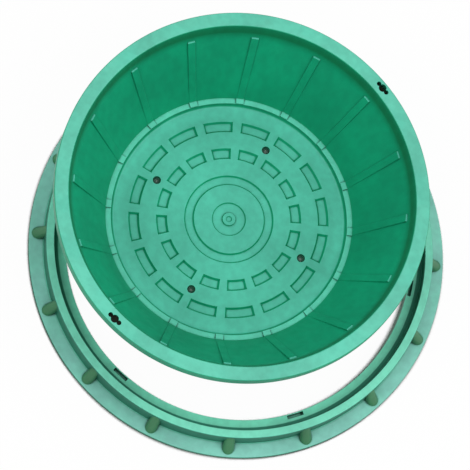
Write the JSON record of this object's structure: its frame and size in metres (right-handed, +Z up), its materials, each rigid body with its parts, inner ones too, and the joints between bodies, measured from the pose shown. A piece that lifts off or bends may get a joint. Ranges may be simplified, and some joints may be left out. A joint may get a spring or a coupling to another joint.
{
  "type": "septic tank cover",
  "caption": "Round basin-shaped plastic tank cover with a ribbed wall, drained floor and key slots in its rim, standing in its flanged and gusseted seat frame.",
  "frame": {"origin": "centre of the seat frame, on the ground that the frame and the cover stand on", "axes": "+Z up along the frame's axis, +X through one of the frame's gussets"},
  "size_m": [0.7999, 0.8, 0.208],
  "materials": {
    "cover_plastic": "moulded green plastic, semi-matt",
    "frame_plastic": "moulded green plastic, semi-matt"
  },
  "bodies": {
    "root": {"basin_cover": "cover_plastic", "seat_frame": "frame_plastic"}
  },
  "joints": []
}
